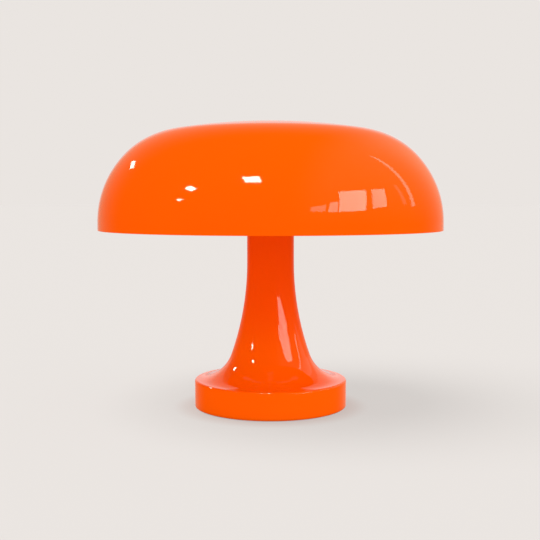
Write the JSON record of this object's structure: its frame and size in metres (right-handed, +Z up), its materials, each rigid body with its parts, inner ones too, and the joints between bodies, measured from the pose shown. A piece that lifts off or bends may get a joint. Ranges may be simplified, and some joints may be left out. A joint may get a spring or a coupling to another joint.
{
  "type": "mushroom table lamp",
  "caption": "Mushroom table lamp: a wide glossy dome shade on a flared stem and round weighted foot, with small globe bulbs under the shade.",
  "frame": {"origin": "centre of the lamp on the surface it stands on", "axes": "+Z up along the stem, +Y towards the back where the cord leaves, +X to the right seen from the front"},
  "size_m": [0.32, 0.32, 0.2669],
  "materials": {
    "abs_orange": "glossy injection-moulded ABS, one solid orange",
    "cover_plastic": "satin moulded plastic",
    "rubber": "matt moulded rubber",
    "cast_iron": "rough casting, blackened",
    "zinc_steel": "zinc-plated",
    "white_steel": "white enamelled sheet steel",
    "white_plastic": "satin heat-resistant moulding",
    "brass": "plain brass",
    "opal_glass": "opal white glass",
    "cap_metal": "rolled aluminium",
    "black_glass": "black vitrite glass",
    "solder": "dull solder",
    "wire_brown": "insulated wire",
    "wire_blue": "insulated wire"
  },
  "bodies": {
    "lamp_base": {"stem_base": "abs_orange", "bottom_cover": "cover_plastic", "rubber_feet": "rubber", "cord_gland": "rubber", "ballast_weight": "cast_iron", "lamp_pipe": "zinc_steel", "lower_washer": "zinc_steel", "lower_nut": "zinc_steel", "upper_washer": "zinc_steel", "upper_nut": "zinc_steel", "nipples": "zinc_steel", "nipple_nuts": "zinc_steel", "cover_screws": "zinc_steel", "clamp_screws": "zinc_steel", "base_terminal_fixing": "zinc_steel", "lid_screws": "zinc_steel", "carrier_screw": "zinc_steel", "lamp_head": "white_steel", "head_lid": "white_steel", "stem_cap": "white_plastic", "shade_carrier": "white_plastic", "cord_clamp": "white_plastic", "base_terminal": "white_plastic", "head_terminal": "white_plastic", "lampholder_right": "white_plastic", "lampholder_back": "white_plastic", "lampholder_left": "white_plastic", "lampholder_front": "white_plastic", "base_terminal_screws": "brass", "head_terminal_screws": "brass", "holder_shells": "brass", "holder_contacts": "brass", "live_riser": "wire_brown", "live_tails": "wire_brown", "neutral_riser": "wire_blue", "neutral_tails": "wire_blue"},
    "shade": {"shade": "abs_orange"},
    "bulb_right": {"bulb_glass_right": "opal_glass", "bulb_cap_right": "cap_metal", "bulb_insulator_right": "black_glass", "bulb_contact_right": "solder"},
    "bulb_back": {"bulb_glass_back": "opal_glass", "bulb_cap_back": "cap_metal", "bulb_insulator_back": "black_glass", "bulb_contact_back": "solder"},
    "bulb_left": {"bulb_glass_left": "opal_glass", "bulb_cap_left": "cap_metal", "bulb_insulator_left": "black_glass", "bulb_contact_left": "solder"},
    "bulb_front": {"bulb_glass_front": "opal_glass", "bulb_cap_front": "cap_metal", "bulb_insulator_front": "black_glass", "bulb_contact_front": "solder"}
  },
  "joints": [
    {"name": "shade_lift", "type": "slide", "parent": "lamp_base", "child": "shade", "axis": [0, 0, 1], "range_m": [0, 0.1]},
    {"name": "bulb_right_draw", "type": "slide", "parent": "lamp_base", "child": "bulb_right", "axis": [1, 0, 0], "range_m": [0, 0.024]},
    {"name": "bulb_back_draw", "type": "slide", "parent": "lamp_base", "child": "bulb_back", "axis": [0, 1, 0], "range_m": [0, 0.024]},
    {"name": "bulb_left_draw", "type": "slide", "parent": "lamp_base", "child": "bulb_left", "axis": [-1, 0, 0], "range_m": [0, 0.024]},
    {"name": "bulb_front_draw", "type": "slide", "parent": "lamp_base", "child": "bulb_front", "axis": [0, -1, 0], "range_m": [0, 0.024]}
  ]
}
